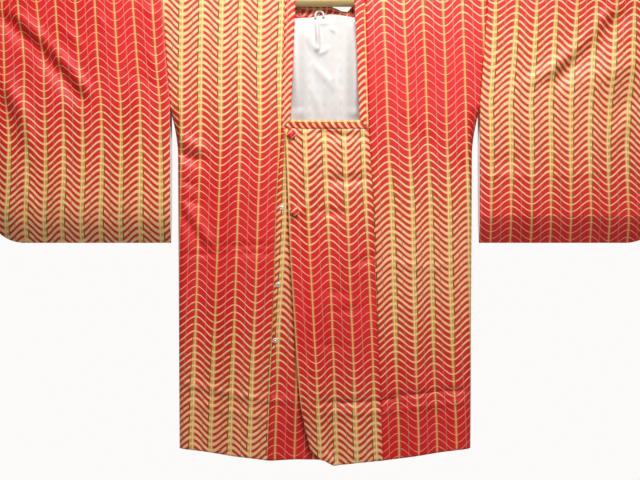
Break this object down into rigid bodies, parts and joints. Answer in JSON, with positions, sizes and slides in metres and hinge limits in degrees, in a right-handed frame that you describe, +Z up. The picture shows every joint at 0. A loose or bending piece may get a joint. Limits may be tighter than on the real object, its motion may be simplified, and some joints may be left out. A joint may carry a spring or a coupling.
{
  "type": "michiyuki coat on a kimono hanger",
  "caption": "Square-necked Japanese over-kimono coat of patterned red silk, hanging flat on a straight kimono hanger bar with a wire hook.",
  "frame": {"origin": "the point inside the top of the hanger's hook, where a rail or peg holds it", "axes": "+X towards the wearer's left sleeve along the bar, -Y out of the coat's front, +Z up"},
  "size_m": [1.2944, 0.0683, 0.9479],
  "materials": {
    "coat_silk": "red crepe silk with cream waves and gold lengthwise lines, soft sheen",
    "lining_silk": "white figured satin silk",
    "loop_cord": "white sewn cloth cord",
    "snap_white": "white lacquered brass, satin",
    "bar_tan": "gold-tan lacquer, satin",
    "hook_wire": "plain bent wire"
  },
  "bodies": {
    "root": {"body_right": "coat_silk", "body_left": "coat_silk", "front_panel_right": "coat_silk", "front_panel_left": "coat_silk", "gusset_right": "coat_silk", "gusset_left": "coat_silk", "sleeve_right": "coat_silk", "sleeve_left": "coat_silk", "neckband": "coat_silk", "panel_band_right": "coat_silk", "panel_band_left": "coat_silk", "back_lining": "lining_silk", "neck_loop": "loop_cord", "button_1": "coat_silk", "button_2": "coat_silk", "snap_socket_1": "snap_white", "snap_socket_2": "snap_white", "snap_socket_3": "snap_white", "snap_stud_1": "snap_white", "snap_stud_2": "snap_white", "snap_stud_3": "snap_white", "hanger_bar": "bar_tan", "hanger_hook": "hook_wire"}
  },
  "joints": []
}
